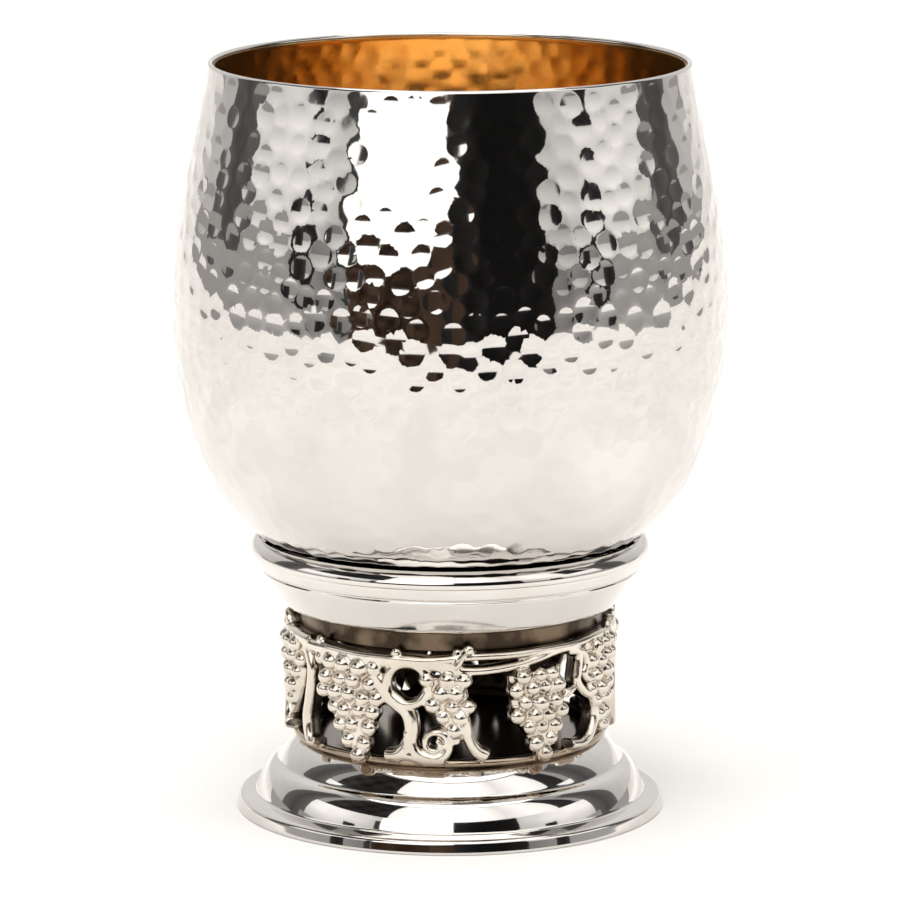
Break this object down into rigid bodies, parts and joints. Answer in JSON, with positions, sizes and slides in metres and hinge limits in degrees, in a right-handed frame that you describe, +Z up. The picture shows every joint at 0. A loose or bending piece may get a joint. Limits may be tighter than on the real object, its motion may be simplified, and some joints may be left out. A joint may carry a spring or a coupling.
{
  "type": "kiddush cup",
  "caption": "Footed silver wine cup: round-bottomed hammered bowl on a turned collar, an openwork grape-cluster stem and a stepped round foot.",
  "frame": {"origin": "centre of the foot's underside, on the surface the cup stands on", "axes": "+Z up along the cup's axis, -Y the front"},
  "size_m": [0.0772, 0.0772, 0.105],
  "materials": {
    "bowl_silver": "hammered and mirror-polished silver plate",
    "bowl_gilding": "gilt inside of the bowl, softly hammered",
    "turned_silver": "mirror-polished silver plate, turned",
    "cast_silver": "polished cast silver plate, darker in the recesses"
  },
  "bodies": {
    "root": {"bowl": "bowl_silver", "collar": "turned_silver", "grape_gallery": "cast_silver", "foot": "turned_silver"}
  },
  "joints": []
}
